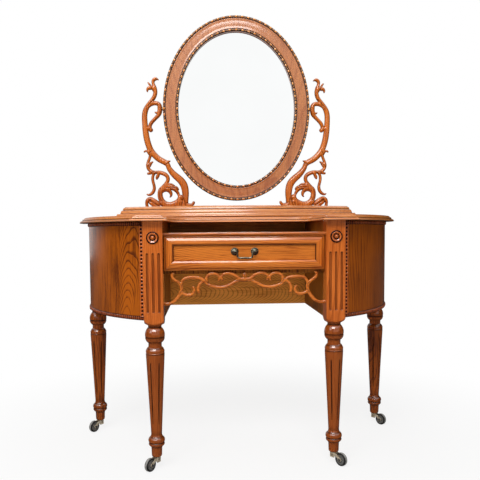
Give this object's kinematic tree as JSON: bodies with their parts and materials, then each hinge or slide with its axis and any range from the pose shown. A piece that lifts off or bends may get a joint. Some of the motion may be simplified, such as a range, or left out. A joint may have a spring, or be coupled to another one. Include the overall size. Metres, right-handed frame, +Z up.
{
  "type": "dressing table with mirror",
  "caption": "Kneehole dressing table with bowed ends, a drawer over a scroll apron, turned legs on casters and a tilting oval mirror",
  "frame": {"origin": "on the floor under the middle of the table top", "axes": "+X to the right seen from the front, +Y to the back, +Z up"},
  "size_m": [1.118, 0.477, 1.479],
  "materials": {
    "oak_case": "varnished oak, satin",
    "oak_turned": "varnished oak, dark, satin",
    "oak_carved": "varnished oak, satin",
    "oak_inside": "plain oak, thin varnish",
    "aged_bronze": "aged bronze",
    "steel": "zinc plated",
    "brass": "satin",
    "caster_metal": "cream nickel, satin",
    "caster_tyre": "hard black tread",
    "mirror_glass": "silvered float glass"
  },
  "bodies": {
    "table": {"table_top": "oak_case", "plinth_base": "oak_case", "plinth_cap": "oak_case", "kneehole_back": "oak_case", "cabinet_backs": "oak_inside", "cabinet_bottoms": "oak_inside", "back_leg_blocks": "oak_inside", "hanger_bolts": "steel", "top_cleats": "oak_inside", "top_screws": "steel", "bottom_bead_strips": "oak_carved", "top_bead_strips": "oak_carved", "post_bead_strips": "oak_carved", "post_rosettes": "oak_turned", "scroll_apron": "oak_carved", "drawer_rail": "oak_inside", "drawer_runners": "oak_inside", "drawer_kickers": "oak_inside", "centre_board": "oak_case", "support_dowels": "oak_inside", "tilt_bolts": "steel", "front_leg_left": "oak_turned", "front_leg_right": "oak_turned", "back_leg_left": "oak_turned", "back_leg_right": "oak_turned", "side_panel_left": "oak_case", "side_panel_right": "oak_case", "kneehole_side_left": "oak_case", "kneehole_side_right": "oak_case", "mirror_support_left": "oak_carved", "mirror_support_right": "oak_carved", "caster_sockets": "caster_metal"},
    "drawer": {"drawer_front": "oak_case", "drawer_moulding_rails": "oak_case", "drawer_moulding_stiles": "oak_case", "drawer_sides": "oak_inside", "drawer_back": "oak_inside", "drawer_bottom": "oak_inside", "handle_posts": "aged_bronze", "handle_nuts": "steel"},
    "bail": {"handle_bail": "aged_bronze"},
    "mirror": {"mirror_frame": "oak_carved", "mirror_outer_beads": "oak_carved", "mirror_inner_beads": "oak_carved", "mirror_glass": "mirror_glass", "mirror_backboard": "oak_inside", "mirror_turn_buttons": "brass", "tilt_bushes": "brass"},
    "caster_front_left": {"caster_fork_front_left": "caster_metal", "caster_axle_front_left": "caster_metal"},
    "wheel_front_left": {"caster_wheel_front_left": "caster_tyre"},
    "caster_front_right": {"caster_fork_front_right": "caster_metal", "caster_axle_front_right": "caster_metal"},
    "wheel_front_right": {"caster_wheel_front_right": "caster_tyre"},
    "caster_back_left": {"caster_fork_back_left": "caster_metal", "caster_axle_back_left": "caster_metal"},
    "wheel_back_left": {"caster_wheel_back_left": "caster_tyre"},
    "caster_back_right": {"caster_fork_back_right": "caster_metal", "caster_axle_back_right": "caster_metal"},
    "wheel_back_right": {"caster_wheel_back_right": "caster_tyre"}
  },
  "joints": [
    {"name": "drawer_slide", "type": "slide", "parent": "table", "child": "drawer", "axis": [0, -1, 0], "range_m": [0, 0.28]},
    {"name": "bail_hinge", "type": "hinge", "parent": "drawer", "child": "bail", "pos_m": [0, -0.2, 0.65675], "axis": [-1, 0, 0], "range_deg": [0, 85]},
    {"name": "mirror_tilt", "type": "hinge", "parent": "table", "child": "mirror", "pos_m": [0, 0.2035, 1.1535], "axis": [1, 0, 0], "range_deg": [-25, 25]},
    {"name": "swivel_front_left", "type": "hinge", "parent": "table", "child": "caster_front_left", "pos_m": [-0.271, -0.186, 0.046], "axis": [0, 0, 1], "continuous": true},
    {"name": "roll_front_left", "type": "hinge", "parent": "caster_front_left", "child": "wheel_front_left", "pos_m": [-0.28947, -0.20964, 0.02], "axis": [0.788, -0.6157, 0], "continuous": true},
    {"name": "swivel_front_right", "type": "hinge", "parent": "table", "child": "caster_front_right", "pos_m": [0.271, -0.186, 0.046], "axis": [0, 0, 1], "continuous": true},
    {"name": "roll_front_right", "type": "hinge", "parent": "caster_front_right", "child": "wheel_front_right", "pos_m": [0.28947, -0.20964, 0.02], "axis": [0.788, 0.6157, 0], "continuous": true},
    {"name": "swivel_back_left", "type": "hinge", "parent": "table", "child": "caster_back_left", "pos_m": [-0.506, 0.194, 0.046], "axis": [0, 0, 1], "continuous": true},
    {"name": "roll_back_left", "type": "hinge", "parent": "caster_back_left", "child": "wheel_back_left", "pos_m": [-0.52447, 0.17036, 0.02], "axis": [0.788, -0.6157, 0], "continuous": true},
    {"name": "swivel_back_right", "type": "hinge", "parent": "table", "child": "caster_back_right", "pos_m": [0.506, 0.194, 0.046], "axis": [0, 0, 1], "continuous": true},
    {"name": "roll_back_right", "type": "hinge", "parent": "caster_back_right", "child": "wheel_back_right", "pos_m": [0.52447, 0.17036, 0.02], "axis": [0.788, 0.6157, 0], "continuous": true}
  ]
}
